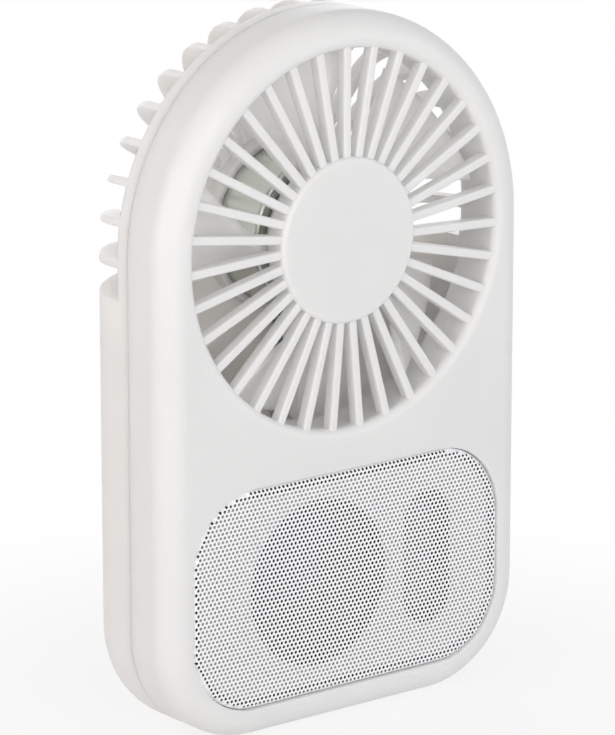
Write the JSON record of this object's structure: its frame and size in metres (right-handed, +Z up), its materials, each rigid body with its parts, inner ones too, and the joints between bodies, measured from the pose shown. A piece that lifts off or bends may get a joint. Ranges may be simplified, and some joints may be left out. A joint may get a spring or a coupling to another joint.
{
  "type": "desk fan with speaker",
  "caption": "Free-standing slab-shaped desk fan with a caged wheel above and a mesh-fronted speaker below, run from an inner battery.",
  "frame": {"origin": "middle of the foot, at the centre of the bounding box's bottom", "axes": "+Z up, -Y out of the front face with the fan cage and the grille, +X to the right seen from the front"},
  "size_m": [0.09, 0.0282, 0.1424],
  "materials": {
    "front_cover": "satin injection-moulded plastic",
    "rear_cover": "satin injection-moulded plastic",
    "speaker_mesh": "perforated sheet",
    "case_screws": "plated",
    "motor_can": "drawn and plated",
    "motor_end_cap": "moulded",
    "motor_front_bush": "sintered",
    "motor_rear_bush": "sintered",
    "motor_shaft": "ground",
    "motor_magnets": "sintered",
    "motor_rotor": "stacked sheet",
    "impeller": "moulded",
    "motor_leads": "insulated wire",
    "speaker_frame": "pressed and painted",
    "speaker_top_plate": "plated",
    "speaker_magnet": "ferrite",
    "speaker_yoke": "plated",
    "voice_coil": "wound copper",
    "driver_cone": "pressed paper",
    "dust_cap": "pressed paper",
    "driver_surround": "moulded",
    "speaker_gasket": "foam",
    "speaker_terminals": "tinned",
    "speaker_screws": "plated",
    "speaker_leads": "insulated wire",
    "radiator_frame": "moulded",
    "radiator_membrane": "moulded",
    "radiator_plate": "plate",
    "battery_cell": "foil pouch",
    "battery_board": "circuit board",
    "battery_pad": "foam",
    "battery_leads": "insulated wire",
    "main_board": "circuit board",
    "board_chips": "moulded",
    "board_screws": "plated",
    "usb_port": "plated",
    "indicator_light": "moulded",
    "indicator_lens": "clear light pipe",
    "switch_bodies": "moulded",
    "fan_button": "moulded",
    "play_button": "moulded",
    "volume_down_button": "moulded",
    "volume_up_button": "moulded",
    "fan_plunger": "moulded",
    "play_plunger": "moulded",
    "volume_down_plunger": "moulded",
    "volume_up_plunger": "moulded"
  },
  "bodies": {
    "housing": {"front_cover": "front_cover", "rear_cover": "rear_cover", "speaker_mesh": "speaker_mesh", "case_screws": "case_screws", "motor_can": "motor_can", "motor_end_cap": "motor_end_cap", "motor_front_bush": "motor_front_bush", "motor_rear_bush": "motor_rear_bush", "motor_magnets": "motor_magnets", "motor_leads": "motor_leads", "speaker_frame": "speaker_frame", "speaker_top_plate": "speaker_top_plate", "speaker_magnet": "speaker_magnet", "speaker_yoke": "speaker_yoke", "driver_surround": "driver_surround", "speaker_gasket": "speaker_gasket", "speaker_terminals": "speaker_terminals", "speaker_screws": "speaker_screws", "speaker_leads": "speaker_leads", "radiator_frame": "radiator_frame", "radiator_membrane": "radiator_membrane", "battery_cell": "battery_cell", "battery_board": "battery_board", "battery_pad": "battery_pad", "battery_leads": "battery_leads", "main_board": "main_board", "board_chips": "board_chips", "board_screws": "board_screws", "usb_port": "usb_port", "indicator_light": "indicator_light", "indicator_lens": "indicator_lens", "switch_bodies": "switch_bodies"},
    "fan_rotor": {"impeller": "impeller", "motor_shaft": "motor_shaft", "motor_rotor": "motor_rotor"},
    "speaker_cone": {"driver_cone": "driver_cone", "dust_cap": "dust_cap", "voice_coil": "voice_coil"},
    "radiator_weight": {"radiator_plate": "radiator_plate"},
    "fan_key": {"fan_button": "fan_button", "fan_plunger": "fan_plunger"},
    "play_key": {"play_button": "play_button", "play_plunger": "play_plunger"},
    "volume_down_key": {"volume_down_button": "volume_down_button", "volume_down_plunger": "volume_down_plunger"},
    "volume_up_key": {"volume_up_button": "volume_up_button", "volume_up_plunger": "volume_up_plunger"}
  },
  "joints": [
    {"name": "impeller_spin", "type": "hinge", "parent": "housing", "child": "fan_rotor", "pos_m": [0, 0, 0.0974], "axis": [0, 1, 0], "continuous": true},
    {"name": "speaker_cone_travel", "type": "slide", "parent": "housing", "child": "speaker_cone", "axis": [0, 1, 0], "range_m": [-0.0005, 0.0005], "stiffness_N_per_m": 600},
    {"name": "radiator_travel", "type": "slide", "parent": "housing", "child": "radiator_weight", "axis": [0, 1, 0], "range_m": [-0.0005, 0.0005], "stiffness_N_per_m": 600},
    {"name": "fan_button_press", "type": "slide", "parent": "housing", "child": "fan_key", "axis": [0, -1, 0], "range_m": [0, 0.0004], "stiffness_N_per_m": 900},
    {"name": "play_button_press", "type": "slide", "parent": "housing", "child": "play_key", "axis": [0, -1, 0], "range_m": [0, 0.0004], "stiffness_N_per_m": 900},
    {"name": "volume_down_button_press", "type": "slide", "parent": "housing", "child": "volume_down_key", "axis": [0, -1, 0], "range_m": [0, 0.0004], "stiffness_N_per_m": 900},
    {"name": "volume_up_button_press", "type": "slide", "parent": "housing", "child": "volume_up_key", "axis": [0, -1, 0], "range_m": [0, 0.0004], "stiffness_N_per_m": 900}
  ]
}
